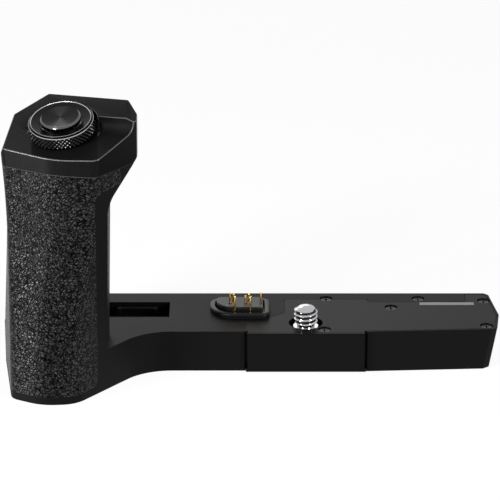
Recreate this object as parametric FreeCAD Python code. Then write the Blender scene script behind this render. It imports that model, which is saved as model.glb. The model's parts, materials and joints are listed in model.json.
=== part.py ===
import FreeCAD, Part
import math
import os
from FreeCAD import Placement, Rotation, Vector

# A clip-on hand grip for a compact camera: an L of a hand column and a flat base plate.
# The origin is where the camera screw's axis crosses the plate's top face.
# X runs along the plate to the right, Y runs back from the lens side, Z is up. Millimetres.

# Base plate, seen from above
plate_back = 20.6
plate_front = 6.1
frame_thickness = 11.3
plate_wall = 1.8
centre_half = 16.0
centre_front = 7.8
centre_thickness = 10.9
groove_width = 0.5
groove_depth = 0.6
groove_stop = 0.9
end_front = 6.5
end_front_tip = 4.75
end_tip_x = centre_half + 33.2
end_nose_x = end_tip_x + 2.7
end_nose_y = 5.3
end_back_x = end_tip_x + 0.9
end_thickness = 11.3
end_taper = 2.0
rail_front = 16.4
rail_step_x = centre_half + 1.1
rail_step_y = 14.5
rail_end_x = end_tip_x - 5.7
plate_left_x = -78.8
plate_left_round = 6.0
swoop_round = 15.0
edge_chamfer = 0.35
seam_width = 0.14
seam_depth = 0.3

# Hand column
column_left = 80.4
head_left = 78.6
column_right = 51.3
column_front = 28.3
column_back_right_y = -8.8
column_back_left_y = 1.6
back_right_x = 46.2
waist_front = 1.3
waist_side = 0.5
waist_z = 36.0
flare_z = 46.0
cap_z = 51.3
column_wall = 3.1
cap_wall = 2.0
wing_right = 43.6
wing_low_z = 40.4
wing_bend_x = 50.0
wing_bend_z = 43.6
wing_high_z = 52.6
wing_inner_round = 8.0
column_spread = 3.0

# Leather cover on the column
leather = 1.0
leather_low_z = -9.2
leather_right = 54.3
leather_wing_z = 46.0
leather_wing_x = -47.7
leather_back_y = -1.0
leather_back = 1.9
leather_hem = 0.2

# Tilted deck with the dial
deck_x = -62.4
deck_y = -16.4
deck_z = 59.05
deck_tilt = 16.0
deck_lean = 6.0
deck_wall = 2.2
ramp_rise = 3.2
ramp_run = 3.2
ramp_x = 12.6
ramp_y = -2.8
ramp_turn = -15.5
plateau_x = -66.3
plateau_y = -3.1
plateau_z = 65.2
plateau_tilt = 12.0
plateau_lean = 4.7
ridge_x = -54.0
ridge_y = -15.6
facet_width = 2.6
facet_drop = 1.3
well_radius = 9.3
dial_radius = 8.5
dial_low = 0.5
dial_high = 4.6
dial_bevel = 0.7
dial_knurls = 48
hub_radius = 4.65
hub_top = 2.5
running_gap = 0.05
loose_gap = 0.3
bush_radius = 5.4
button_radius = 5.2
button_top = 5.5
button_thick = 1.4
button_travel = 1.0
stem_radius = 1.6
guide_radius = 2.6

# Camera screw and tripod socket
screw_radius = 3.175
screw_height = 5.0
screw_tip = 0.6
neck_radius = 2.6
screw_hole = 4.53
flange_radius = 3.9
flange_low = -1.5
flange_high = -0.9
knob_radius = 6.1
knob_height = 5.4
knob_knurls = 30
bearing_low_z = -4.6
bearing_high_z = -2.8
bush_y = 11.4
tripod_radius = 4.2
tripod_hole = 2.55
tripod_depth = 6.0

# Connector
socket_left = -centre_half - 9.6
socket_right = -centre_half + 6.4
socket_front = 2.6
socket_back = 14.0
socket_round = 6.5
collar_height = 1.4
plug_height = 2.5
plug_inset = 1.4
plug_gap = 0.4
pin_radius = 0.3
pin_tip_z = 5.8
middle_pin_tip_z = 5.0
back_pin_tip_z = 4.5
pin_pitch = 4.15
pin_row = 2.5

# Storage pocket for the camera's own contact cap
pocket_left = -centre_half - 37.4
pocket_right = -centre_half - 20.5
pocket_back = 14.3
pocket_front = 2.6
pocket_depth = 5.0
pocket_bar_top = -1.0
pocket_bar_low = -3.2

# Covers, boards and fasteners
cover_thick = 1.6
cover_rim = 0.9
board_thick = 1.0
screw_head = 1.5
screw_head_high = 0.9
screw_shank = 0.8
head_sink = 0.4
top_screw_depth = 4.3
back_screw_depth = 4.0
head_gap = 0.25
bottom_cover_thick = 1.4
pad_left = 8.4
pad_width = 5.4
pad_length = 9.0
pad_depth = 0.5
label_thick = 0.15
label_left = centre_half + 15.0
label_length = 14.8
label_width = 1.9

# Back cover of the column and the hollow under the plate's left half
cap_floor = 2.5
back_low_z = 2.5
back_high_z = 47.5
back_left_u = 3.7
back_right_u = 27.8
back_thick = 1.8
plate_hollow_top = -5.9
plate_hollow_left = -74.0
plate_hollow_back = 17.6
plate_hollow_front = -3.6
foot_floor = 1.7
lift_front = -15.5
lift_back = -8.0
lift_right = -58.0
shelf_depth = 2.2
board_chamber_low = -7.5

# Dial mechanism, measured along the dial's axis from the deck
bush_low = -3.2
bush_high = 0.2
clip_high = 0.4
wheel_high = 1.1
wheel_radius = 6.0
wheel_teeth = 24
sleeve_low = bush_low - loose_gap - clip_high - 0.2 - wheel_high
board_top = sleeve_low - 0.6
guide_flange = 0.8
guide_flange_radius = 6.2
guide_leg_x = 8.0
stem_low = board_top - board_thick - guide_flange + 0.4

# Printed film and the metal angle inside
flex_left = -64.0
flex_width = 5.0
flex_thick = 0.2
flex_z = -7.8
flex_front = -14.0
flex_back = 8.0
bracket_thick = 1.2
bracket_left = -71.0
bracket_width = 6.2
bracket_y = -9.6
bracket_high = 42.0

far = 100.0


def mix(a, b, share):
    return a + (b - a) * share


def box(x0, y0, z0, x1, y1, z1):
    return Part.makeBox(x1 - x0, y1 - y0, z1 - z0, Vector(x0, y0, z0))


def rod(x, y, z0, z1, radius):
    return Part.makeCylinder(radius, z1 - z0, Vector(x, y, z0))


def tube(x, y, z0, z1, outer, inner):
    return rod(x, y, z0, z1, outer).cut(rod(x, y, z0 - 1, z1 + 1, inner))


def join(shapes):
    return shapes[0].multiFuse(shapes[1:]).removeSplitter()


def rounded_wire(points, radii, z=0.0):
    """A closed outline whose corners are arcs of the given radii."""
    corners = [Vector(x, y, z) for x, y in points]
    edges = []
    first = None
    last = None
    for index, corner in enumerate(corners):
        back = (corners[index - 1] - corner).normalize()
        ahead = (corners[(index + 1) % len(corners)] - corner).normalize()
        half = math.acos(max(-1.0, min(1.0, back.dot(ahead)))) / 2
        radius = radii[index]
        start = corner + back * (radius / math.tan(half))
        end = corner + ahead * (radius / math.tan(half))
        inward = (back + ahead).normalize()
        middle = corner + inward * (radius / math.sin(half) - radius)
        if first is None:
            first = start
        else:
            edges.append(Part.LineSegment(last, start).toShape())
        edges.append(Part.Arc(start, middle, end).toShape())
        last = end
    edges.append(Part.LineSegment(last, first).toShape())
    return Part.Wire(edges)


def inset_points(points, amounts):
    """Move each side of an anticlockwise outline inward by its own amount."""
    count = len(points)
    lines = []
    for index in range(count):
        x0, y0 = points[index]
        x1, y1 = points[(index + 1) % count]
        length = math.hypot(x1 - x0, y1 - y0)
        nx = -(y1 - y0) / length
        ny = (x1 - x0) / length
        amount = amounts[index]
        lines.append((x0 + nx * amount, y0 + ny * amount, x1 - x0, y1 - y0))
    moved = []
    for index in range(count):
        ax, ay, adx, ady = lines[index - 1]
        bx, by, bdx, bdy = lines[index]
        cross = adx * bdy - ady * bdx
        share = ((bx - ax) * bdy - (by - ay) * bdx) / cross
        moved.append((ax + adx * share, ay + ady * share))
    return moved


def inset(points, amount):
    return inset_points(points, [amount] * len(points))


def slab(points, radii, z0, z1):
    return Part.Face(rounded_wire(points, radii, z0)).extrude(Vector(0, 0, z1 - z0))


def side_slab(points, radii, y0, y1):
    """A slab whose outline is drawn in X and Z and runs from y0 to y1."""
    shape = Part.Face(rounded_wire(points, radii)).extrude(Vector(0, 0, y1 - y0))
    shape.rotate(Vector(0, 0, 0), Vector(1, 0, 0), 90)
    shape.translate(Vector(0, y1, 0))
    return shape


def half_space(point, outward):
    """A large block on the side of a plane that the outward vector points to."""
    block = Part.makeBox(2 * far, 2 * far, far, Vector(-far, -far, 0))
    turn = Rotation(Vector(0, 0, 1), outward)
    block.Placement = Placement(point, turn)
    return block


# Outlines of the column, anticlockwise from the back left corner
back_slope = (column_back_right_y - column_back_left_y) / (column_left - back_right_x)
foot_corners = [
    (-column_left, column_back_left_y),
    (-column_left + 3.4, -column_front + 4.3),
    (-column_left + 11.6, -column_front - 0.2),
    (-column_right - 8.8, -column_front + 0.5),
]
head_corners = [
    (-head_left, column_back_left_y + (column_left - head_left) * back_slope),
    (-column_left + 2.4, -column_front + 8.8),
    (-column_left + 15.9, -column_front + 1.4),
    (-column_right - 2.4, -column_front - 0.3),
]
foot_radii = [1.5, 4.0, 12.0, 8.0, 1.0, 1.0]
head_radii = [1.5, 2.5, 25.0, 3.0, 1.2, 1.0]
diagonal_slope = 1.25


def swoop_corner():
    """Where the column's slanted side meets the front of the plate."""
    x, y = foot_corners[3]
    return (x + (-plate_front - y) / diagonal_slope, -plate_front)


def back_plane_y(x):
    """The column's back is one plane, a little askew to the plate."""
    return column_back_left_y + (x + column_left) * back_slope


def diagonal_y(corners, x):
    """The slanted side that runs back from the column's right front corner."""
    return corners[3][1] + (x - corners[3][0]) * diagonal_slope


def full_outline(corners, tip_x, back_x):
    """Close a column outline with the wing's tip and the back plane."""
    return corners + [(tip_x, diagonal_y(corners, tip_x)), (back_x, back_plane_y(back_x))]


def outline_at(z, waist):
    """The column's corners and their radii at one height."""
    share = max(0.0, min(1.0, z / cap_z))
    foot = full_outline(foot_corners, -column_right + 2.8, -column_right + 1.8)
    head = full_outline(head_corners, -wing_right + 0.3, -back_right_x)
    points = []
    for index in range(len(foot)):
        x = mix(foot[index][0], head[index][0], share)
        y = mix(foot[index][1], head[index][1], share)
        if index in (1, 2, 3):
            y += waist_front * waist
        if index in (0, 1):
            x += waist_side * waist
        points.append((x, y))
    return points, [mix(a, b, share) for a, b in zip(foot_radii, head_radii)]


def column_section(z, waist, amount):
    points, radii = outline_at(z, waist)
    if amount:
        points = inset(points, amount)
        radii = [max(0.6, radius - amount) for radius in radii]
    return rounded_wire(points, radii, z)


def trunk_section(z, waist, amount):
    """The outline without the wing: it ends at the column's flat right wall."""
    points, radii = outline_at(z, waist)
    x = -column_right
    points = points[:4] + [(x, diagonal_y(points, x)), (x, back_plane_y(x))]
    return rounded_wire(inset(points, amount), [1.5] * 6, z)


def column_loft(amount, low_z=0.0):
    """The column's outer form, or the same form with thinner sides."""
    stations = [(low_z, 0.0), (waist_z / 3, 0.45), (waist_z, 1.0), (flare_z, 0.5)]
    stations += [(cap_z, 0.0), (cap_z + 19.0, 0.0)]
    return Part.makeLoft([column_section(z, waist, amount) for z, waist in stations], True, False)


def wing_profile(amount, low_z):
    """The column's right side seen from the front, with the wing on top."""
    points = [
        (-far, low_z),
        (-column_right - column_spread - amount, low_z),
        (-column_right + 0.2 - amount, wing_low_z),
        (-wing_bend_x - amount, wing_bend_z),
        (-wing_right - amount, wing_high_z),
        (-wing_right + 0.2 - amount, far),
        (-far, far),
    ]
    radii = [0.5, 0.5, wing_inner_round, wing_inner_round, 2.0, 0.5, 0.5]
    return side_slab(points, radii, -far, far)


def tilted(tilt, lean):
    """The normal of a face that falls to the front by tilt and to the left by lean, in degrees."""
    return Vector(-math.tan(math.radians(lean)), -math.tan(math.radians(tilt)), 1.0).normalize()


# The deck's own frame: its third axis is square to the tilted deck
deck_normal = tilted(deck_tilt, deck_lean)
deck_point = Vector(deck_x, deck_y, deck_z)
deck_across = Vector(0, 1, 0).cross(deck_normal).normalize()
deck_back = deck_normal.cross(deck_across).normalize()
plateau_normal = tilted(plateau_tilt, plateau_lean)


def on_deck(shape):
    """Move a shape that was drawn about the dial's axis onto the tilted deck."""
    moved = shape.copy()
    turn = Rotation(deck_across, deck_back, deck_normal, "ZXY")
    moved.Placement = Placement(deck_point, turn).multiply(moved.Placement)
    return moved


def above_deck(rise):
    return deck_point + deck_normal * rise


def cap_form(amount):
    """The cap's outside: a raised plateau at the back and a shoulder at the left."""
    shape = column_loft(amount).common(wing_profile(amount, -far))
    shape = shape.common(box(-far, -far, cap_z - amount, far, far, far))
    plateau = plateau_point(plateau_x, plateau_y, 0.0)
    shape = shape.cut(half_space(plateau - plateau_normal * amount, plateau_normal))
    front, middle, back, corner = shoulder_points()
    for low, high in ((front, middle), (middle, back)):
        outward = (high - low).cross(corner - low).normalize()
        if outward.z < 0:
            outward = outward * -1
        shape = shape.cut(half_space(low - outward * amount, outward))
    shape = shape.cut(wing_facet(amount))
    ridge = plateau_point(ridge_x, ridge_y, 0.0)
    outward = (middle - back).cross(ridge - back).normalize()
    slope = half_space(back - outward * amount, outward)
    return shape.cut(slope.common(half_space(above_deck(-amount), deck_normal)))


def shoulder_points():
    """The corners of the two slanted faces that take off the cap's left back corner."""
    front = Vector(-column_left + 2.4, -column_front + 9.0, deck_z - 3.5)
    middle = Vector(-column_left + 4.9, -column_front + 21.8, deck_z + 1.9)
    back = Vector(-column_left + 14.1, -column_front + 25.6, deck_z + 6.45)
    corner = Vector(head_corners[0][0], head_corners[0][1], cap_z)
    return front, middle, back, corner


def plateau_point(x, y, drop):
    """The point of the plateau above a place in plan, lowered by the drop."""
    across = (x - plateau_x) * plateau_normal.x + (y - plateau_y) * plateau_normal.y
    return Vector(x, y, plateau_z - across / plateau_normal.z - drop)


def wing_facet(amount):
    """What the slanted face at the plateau's right end takes off."""
    high_x = -wing_right - facet_width
    back = plateau_point(high_x, column_back_right_y, 0.0)
    front = plateau_point(high_x, 2 * column_back_right_y, 0.0)
    low = plateau_point(-wing_right, column_back_right_y, facet_drop)
    outward = (back - front).cross(low - front).normalize()
    if outward.z < 0:
        outward = outward * -1
    return half_space(back - outward * amount, outward)


def deck_cut():
    """What is taken off above the deck: the open front, a hollow ramp and the dial's well."""
    angle = 2 * math.atan(ramp_rise / ramp_run)
    radius = ramp_run / math.sin(angle)
    start = Vector(0, ramp_y, 0)
    middle = Vector(0, ramp_y + radius * math.sin(angle / 2), radius * (1 - math.cos(angle / 2)))
    end = Vector(0, ramp_y + ramp_run, ramp_rise)
    high = Vector(0, ramp_y + ramp_run, far / 2)
    corner = Vector(0, -far / 2, far / 2)
    low = Vector(0, -far / 2, 0)
    edges = [
        Part.LineSegment(low, start).toShape(),
        Part.Arc(start, middle, end).toShape(),
        Part.LineSegment(end, high).toShape(),
        Part.LineSegment(high, corner).toShape(),
        Part.LineSegment(corner, low).toShape(),
    ]
    front = Part.Face(Part.Wire(edges)).extrude(Vector(far, 0, 0))
    front.translate(Vector(-far / 2, 0, 0))
    front.rotate(Vector(ramp_x, ramp_y, 0), Vector(0, 0, 1), ramp_turn)
    well = rod(0, 0, 0, far / 2, well_radius)
    return on_deck(front.fuse(well))


def cap_screw_spots():
    left = -column_left + 7.2
    right = -column_right - 4.9
    return [(left, -column_front + 11.8), (left, -column_front + 20.7), (right, -column_front + 6.0)]


def make_top_cap():
    outer = cap_form(0.0).cut(deck_cut())
    hollow = cap_form(cap_wall).cut(half_space(above_deck(-deck_wall), deck_normal))
    posts = [rod(x, y, cap_z, far, 2.2) for x, y in cap_screw_spots()]
    hollow = hollow.cut(Part.makeCompound(posts))
    shape = outer.cut(hollow)
    shape = shape.cut(on_deck(rod(0, 0, -far / 4, 1.0, bush_radius)))
    for x, y in cap_screw_spots():
        shape = shape.cut(rod(x, y, cap_z - 1, cap_z + 4.5, screw_shank))
    return shape


def make_cap_screws():
    screws = []
    for x, y in cap_screw_spots():
        head = rod(x, y, cap_z - cap_floor - screw_head_high, cap_z - cap_floor, screw_head)
        shank = rod(x, y, cap_z - cap_floor, cap_z + 4.5, screw_shank)
        screws.append(head.fuse(shank))
    return Part.makeCompound(screws)


def leather_region():
    points = [
        (-far, leather_low_z),
        (-leather_right - 0.3, leather_low_z),
        (-leather_right + 0.3, leather_wing_z),
        (leather_wing_x, leather_wing_z + 1.2),
        (leather_wing_x, cap_z),
        (-far, cap_z),
    ]
    return side_slab(points, [0.1, 1.5, 2.5, 0.5, 0.1, 0.1], -far, leather_back_y)


def foot_outline():
    return foot_corners + [swoop_corner()]


def base_outline():
    """The frame's plan: plate, column foot and the long rail behind the covers."""
    return [(plate_left_x, plate_back)] + foot_outline() + [
        (-centre_half, -plate_front),
        (-centre_half, socket_front + 0.8),
        (socket_right - 0.3, socket_front + 0.8),
        (socket_right + 4.0, socket_front + 4.4),
        (socket_right + 4.0, rail_front),
        (rail_step_x, rail_front),
        (rail_step_x, rail_step_y),
        (rail_end_x, rail_step_y),
        (rail_end_x, plate_back),
    ]


def column_solid(amount, z0, z1):
    shape = column_loft(amount).common(wing_profile(amount, -far))
    return shape.common(box(-far, -far, z0, far, far, z1))


def foot_solid(amount, z0, z1):
    """The column's foot below the plate's top face."""
    solid = Part.Face(column_section(0.0, 0.0, amount)).extrude(Vector(0, 0, z1 - z0))
    return solid.translated(Vector(0, 0, z0))


def make_leather_cover():
    column = column_loft(0.0).cut(column_loft(leather)).common(wing_profile(leather_hem, -far))
    foot = foot_solid(0.0, -frame_thickness, 0.0).cut(foot_solid(leather, -frame_thickness, 0.0))
    region = leather_region().cut(back_block(-far, far, -leather_back, far, -far, far))
    shape = column.common(region).fuse(foot.common(region)).removeSplitter()
    return max(shape.Solids, key=lambda solid: solid.Volume)


def back_direction():
    """Unit vectors along the column's back plane and out of it."""
    dx = -back_right_x + column_left
    dy = column_back_right_y - column_back_left_y
    along = Vector(dx, dy, 0).normalize()
    return along, Vector(0, 0, 1).cross(along)


def back_block(u0, u1, v0, v1, z0, z1):
    """A block laid along the column's back plane, measured from its left corner."""
    along, out = back_direction()
    block = box(u0, v0, z0, u1, v1, z1)
    turn = Rotation(along, out, Vector(0, 0, 1), "ZXY")
    block.Placement = Placement(Vector(-column_left, column_back_left_y, 0), turn)
    return block


def column_cavity():
    stations = [(back_low_z, 0.2), (waist_z, 1.0), (cap_z - cap_floor, 0.4)]
    sections = [trunk_section(z, waist, column_wall) for z, waist in stations]
    inner = Part.makeLoft(sections, True, True)
    opening = back_block(back_left_u + 1.6, back_right_u - 1.6, -column_wall - 2.0, 1.0,
                         back_low_z + 1.6, back_high_z - 1.6)
    return inner.fuse(opening)


def mechanism_hole():
    half = guide_flange_radius + 0.1
    return on_deck(box(-guide_leg_x - 0.2, -half, -16.0, half, half, 0.0))


def socket_hollow():
    """The chamber under the connector that its board sits in."""
    return box(socket_left - 2.0, socket_front - 1.2, board_chamber_low, socket_right + 2.2,
               socket_back + 1.4, -shelf_depth)


def plate_hollow():
    """The hollow under the plate's left half, with its ways to the connector and the column."""
    main = box(plate_hollow_left, plate_hollow_front, -far, -centre_half - 2.0,
               plate_hollow_back, plate_hollow_top)
    under = box(-centre_half - 3.0, socket_front + 3.3, -far, socket_right + 1.0,
                socket_back + 1.4, board_chamber_low + 1.0)
    floor = -frame_thickness + foot_floor
    lead = box(plate_hollow_left, lift_front, floor, lift_right, 0.0, plate_hollow_top)
    lift = box(plate_hollow_left, lift_front, floor, lift_right, lift_back, back_low_z + 1)
    return join([main, socket_hollow(), under, lead, lift])


def bottom_cover_solid(gap):
    points = [
        (plate_hollow_left - 1.6, plate_hollow_back + 1.2),
        (plate_hollow_left - 1.6, plate_hollow_front - 1.2),
        (-centre_half - 1.0, plate_hollow_front - 1.2),
        (-centre_half - 1.0, socket_front + 2.2),
        (socket_right - 0.8, socket_front + 2.2),
        (socket_right + 3.0, socket_front + 5.4),
        (socket_right + 3.0, plate_hollow_back + 1.2),
    ]
    radii = [2.0, 2.0] + [1.0] * 5
    low = -frame_thickness
    return slab(inset(points, -gap), radii, low, low + bottom_cover_thick)


def pocket_solid():
    """The storage pocket: deep at the back, with a floor that ramps up to the front."""
    points = [
        (pocket_back, 0.5),
        (pocket_back, -pocket_depth),
        (pocket_back - 5.0, -pocket_depth),
        (pocket_back - 5.4, -2.0),
        (pocket_front, 0.0),
        (pocket_front - 0.8, 0.5),
    ]
    wire = Part.makePolygon([Vector(0, y, z) for y, z in points + points[:1]])
    shape = Part.Face(wire).extrude(Vector(pocket_right - pocket_left, 0, 0))
    shape.translate(Vector(pocket_left, 0, 0))
    return shape


def make_pocket_bar():
    """The bar across the pocket's back that the stored cap clips under."""
    left = pocket_left + 2.6
    right = pocket_right - 3.4
    front = pocket_back - 1.7
    bar = box(left, front, pocket_bar_top - 0.8, right, front + 0.9, pocket_bar_top)
    shapes = [bar]
    for x in (left, right - 1.0):
        shapes.append(box(x, front, pocket_bar_top - 0.8, x + 1.0, pocket_back, pocket_bar_top))
        shapes.append(box(x, front - 0.5, pocket_bar_low, x + 1.0, front + 0.4, pocket_bar_top))
    return join(shapes)


def socket_outline(amount, spread=0.0):
    points = [
        (socket_left - spread, socket_back + spread),
        (socket_left - spread, socket_front - spread),
        (socket_right + spread, socket_front - spread),
        (socket_right + spread, socket_back + spread),
    ]
    radii = [3.0, socket_round, 2.0, 2.0]
    if amount:
        points = inset(points, amount)
        radii = [max(0.6, radius - amount) for radius in radii]
    return points, radii


def socket_slab(amount, z0, z1):
    points, radii = socket_outline(amount)
    return slab(points, radii, z0, z1)


def chamfered(shape, size, z):
    """The shape with the outer edges that lie at height z taken off at a slant."""
    edges = [edge for edge in shape.Edges if all(abs(v.Z - z) < 0.001 for v in edge.Vertexes)]
    return shape.makeChamfer(size, edges)


def make_connector_collar():
    outer = chamfered(socket_slab(0.0, -2.2, collar_height), edge_chamfer, collar_height)
    return outer.cut(socket_slab(plug_inset, -3, 3))


def make_connector_plug():
    base = socket_slab(plug_inset, -3.0, 0.0)
    top = chamfered(socket_slab(plug_inset + plug_gap, -3.0, plug_height), edge_chamfer, plug_height)
    flange = socket_slab(0.6, -3.0, -2.2)
    low = plug_height - 0.6
    holes = [rod(x, y, low, plug_height + 1, pin_radius + 0.15) for x, y, tip in pin_spots()]
    shape = join([top, base, flange]).cut(Part.makeCompound(holes))
    cores = [rod(x, y, -4.0, plug_height, pin_radius) for x, y, tip in pin_spots()]
    return shape.cut(Part.makeCompound(cores))


def pin_spots():
    """Where the pins stand and how high each tip reaches: rows of two, three and two."""
    x0 = socket_left + 6.7
    y0 = socket_front + 2.0
    middle_tips = [pin_tip_z, middle_pin_tip_z, pin_tip_z]
    spots = [(x0 + pin_pitch * k, y0, pin_tip_z) for k in range(2)]
    spots += [(x0 - 1.3 + pin_pitch * k, y0 + pin_row, middle_tips[k]) for k in range(3)]
    spots += [(x0 - 0.4 + pin_pitch * k, y0 + 2 * pin_row, back_pin_tip_z) for k in range(2)]
    return spots


def make_contact_pins():
    pins = []
    for x, y, tip_z in pin_spots():
        shaft = rod(x, y, -4.4, tip_z - pin_radius, pin_radius)
        tip = Part.makeSphere(pin_radius, Vector(x, y, tip_z - pin_radius))
        pins.append(shaft.fuse(tip))
    return Part.makeCompound(pins)


def make_connector_board():
    board = box(socket_left - 1.0, socket_front - 0.2, -3.0 - board_thick,
                socket_right + 1.0, socket_back + 0.4, -3.0)
    holes = [rod(x, y, -5.0, -2.0, pin_radius) for x, y, tip in pin_spots()]
    return board.cut(Part.makeCompound(holes))


def make_connector_seal():
    """A rubber gasket squeezed between the connector board and the plate round the collar."""
    points, radii = socket_outline(0.0, 1.0)
    ring = slab(points, radii, -3.0, -2.2)
    inner, inner_radii = socket_outline(0.6)
    return ring.cut(slab(inner, inner_radii, -4.0, -1.0))


def top_screw_spots():
    return [
        (rail_step_x - 11.3, rail_front + 0.5),
        (rail_step_x + 13.7, rail_step_y + 2.5),
        (end_nose_x - 3.4, rail_step_y + 0.9),
        (end_nose_x - 3.8, -end_front_tip + 2.85),
        (centre_half - 11.1, -centre_front + 3.4),
        (rail_step_x + 6.1, rail_step_y - 3.7),
    ]


def top_screw_space():
    spaces = []
    for x, y in top_screw_spots():
        spaces.append(rod(x, y, -head_sink - screw_head_high, 1.0, screw_head + head_gap))
        spaces.append(rod(x, y, -top_screw_depth, 0.0, screw_shank))
    return Part.makeCompound(spaces)


def make_top_screws():
    screws = []
    for x, y in top_screw_spots():
        head = rod(x, y, -head_sink - screw_head_high, -head_sink, screw_head)
        low = -head_sink - 0.6
        cross = box(x - 0.9, y - 0.2, low, x + 0.9, y + 0.2, 0).fuse(box(x - 0.2, y - 0.9, low, x + 0.2, y + 0.9, 0))
        shank = rod(x, y, -top_screw_depth, -head_sink - screw_head_high, screw_shank)
        screws.append(head.cut(cross).fuse(shank))
    return Part.makeCompound(screws)


def bottom_screw_spots():
    left = plate_hollow_left + 0.4
    right = -centre_half - 3.0
    back = plate_hollow_back - 0.7
    front = plate_hollow_front + 0.7
    return [(left, back), (left, front), (right, front), (right, back), ((left + right) / 2, back)]


def bottom_screw(x, y):
    low = -frame_thickness + head_sink
    head = rod(x, y, low, low + screw_head_high, screw_head)
    shank = rod(x, y, low + screw_head_high, low + 4.5, screw_shank)
    return head.fuse(shank)


def bottom_screw_space():
    spaces = []
    for x, y in bottom_screw_spots():
        low = -frame_thickness + head_sink
        spaces.append(rod(x, y, -far, low + screw_head_high, screw_head + 0.15))
        spaces.append(rod(x, y, low, low + 4.5, screw_shank))
    return Part.makeCompound(spaces)


def make_bottom_screws():
    return Part.makeCompound([bottom_screw(x, y) for x, y in bottom_screw_spots()])


def make_grip_frame():
    outline = base_outline()
    radii = [plate_left_round] + foot_radii[:4] + [swoop_round, 0.4] + [0.2] * 8
    radii[1] = 8.0
    base = slab(outline, radii, -frame_thickness, 0.0)
    shape = base.fuse(column_solid(0.0, 0.0, cap_z))
    shape = shape.cut(make_leather_cover())
    shape = shape.cut(column_cavity())
    shape = shape.cut(mechanism_hole())
    posts = [rod(x, y, plate_hollow_top - 9, plate_hollow_top, 2.2) for x, y in bottom_screw_spots()]
    hollow = plate_hollow().cut(Part.makeCompound(posts))
    shape = shape.cut(hollow)
    shape = shape.cut(bottom_cover_solid(0.1))
    shape = shape.cut(pocket_solid())
    shape = shape.cut(socket_slab(0.0, -far, 1.0))
    shape = shape.cut(top_screw_space())
    shape = shape.cut(bottom_screw_space())
    shape = shape.cut(make_back_cover_blank(0.1))
    for x, y in cap_screw_spots():
        low = cap_z - cap_floor - screw_head_high
        shape = shape.cut(rod(x, y, low - 0.1, cap_z - cap_floor, screw_head + 0.1))
        shape = shape.cut(rod(x, y, low, cap_z + 1, screw_shank))
    for spot in back_screw_spots():
        shape = shape.cut(back_screw(spot, -head_sink))
    return shape


def make_back_cover_blank(gap):
    return back_block(back_left_u - gap, back_right_u + gap, -back_thick, 0.5,
                      back_low_z - gap, back_high_z + gap)


def back_screw_spots():
    middle = (back_left_u + back_right_u) / 2
    return [(middle, back_low_z + 0.9 + 1.6), (middle, back_high_z - 0.9 - 1.6)]


def back_screw(spot, head_top):
    """A screw through the back cover, or with a high head the open hole that it sits in."""
    u, z = spot
    along, out = back_direction()
    head = rod(0, 0, -head_sink - screw_head_high, head_top, screw_head)
    shank = rod(0, 0, -back_screw_depth, -head_sink - screw_head_high, screw_shank)
    shape = head.fuse(shank)
    point = Vector(-column_left, column_back_left_y, z) + along * u
    shape.Placement = Placement(point, Rotation(Vector(0, 0, 1), out))
    return shape


def make_column_back_cover():
    outer_face = Vector(-column_left, column_back_left_y, 0)
    shape = make_back_cover_blank(0.0).cut(half_space(outer_face, back_direction()[1]))
    for spot in back_screw_spots():
        shape = shape.cut(back_screw(spot, 1.0))
    return shape


def make_back_screws():
    return Part.makeCompound([back_screw(spot, -head_sink) for spot in back_screw_spots()])


def star_prism(teeth, outer, inner, z0, z1):
    """A disc whose rim is cut into straight teeth."""
    points = []
    for index in range(2 * teeth):
        radius = outer if index % 2 == 0 else inner
        angle = math.pi * index / teeth
        points.append(Vector(radius * math.cos(angle), radius * math.sin(angle), z0))
    wire = Part.makePolygon(points + points[:1])
    return Part.Face(wire).extrude(Vector(0, 0, z1 - z0))


def make_dial_ring():
    knurl_top = dial_high - dial_bevel
    body = star_prism(dial_knurls, dial_radius, dial_radius - 0.35, dial_low + 0.4, knurl_top)
    low_rim = rod(0, 0, dial_low, dial_low + 0.4, dial_radius - 0.4)
    bevel = Part.makeCone(dial_radius - 0.3, dial_radius - dial_bevel - 0.2, dial_bevel,
                          Vector(0, 0, knurl_top))
    shape = join([low_rim, body, bevel])
    return on_deck(shape.cut(rod(0, 0, -1, far, dial_plate_radius())))


def dial_plate_radius():
    return dial_radius - 0.9


def make_dial_hub():
    disc = rod(0, 0, bush_high + loose_gap, hub_top, dial_plate_radius())
    sleeve = rod(0, 0, sleeve_low, hub_top, hub_radius)
    return on_deck(disc.fuse(sleeve).cut(rod(0, 0, -far, far, guide_radius + 0.4)))


def make_dial_plate():
    plate = tube(0, 0, hub_top, dial_high - 0.2, dial_plate_radius(), button_radius + loose_gap)
    dish = Part.makeCone(button_radius + 0.6, dial_plate_radius() - 0.1, 0.3,
                         Vector(0, 0, dial_high - 0.5))
    return on_deck(plate.cut(dish))


def make_dial_bush():
    return on_deck(tube(0, 0, bush_low, bush_high, bush_radius, hub_radius + running_gap))


def make_dial_clip():
    top = bush_low - loose_gap
    ring = tube(0, 0, top - clip_high, top, hub_radius + 0.9, hub_radius)
    mouth = box(0, -1.2, top - clip_high - 1, far, 1.2, top + 1)
    return on_deck(ring.cut(mouth))


def make_click_wheel():
    wheel = star_prism(wheel_teeth, wheel_radius, wheel_radius - 0.5, sleeve_low, sleeve_low + wheel_high)
    return on_deck(wheel.cut(rod(0, 0, -far, far, hub_radius)))


def make_click_spring():
    x = wheel_radius + loose_gap
    leaf = box(x, -3.0, sleeve_low, x + 0.3, 3.0, sleeve_low + wheel_high)
    foot = box(x, 3.0, sleeve_low, x + 1.0, 4.2, -deck_wall)
    return on_deck(leaf.fuse(foot))


def make_encoder_board():
    ring = tube(0, 0, board_top - board_thick, board_top, 6.2, guide_radius)
    return on_deck(ring)


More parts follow.
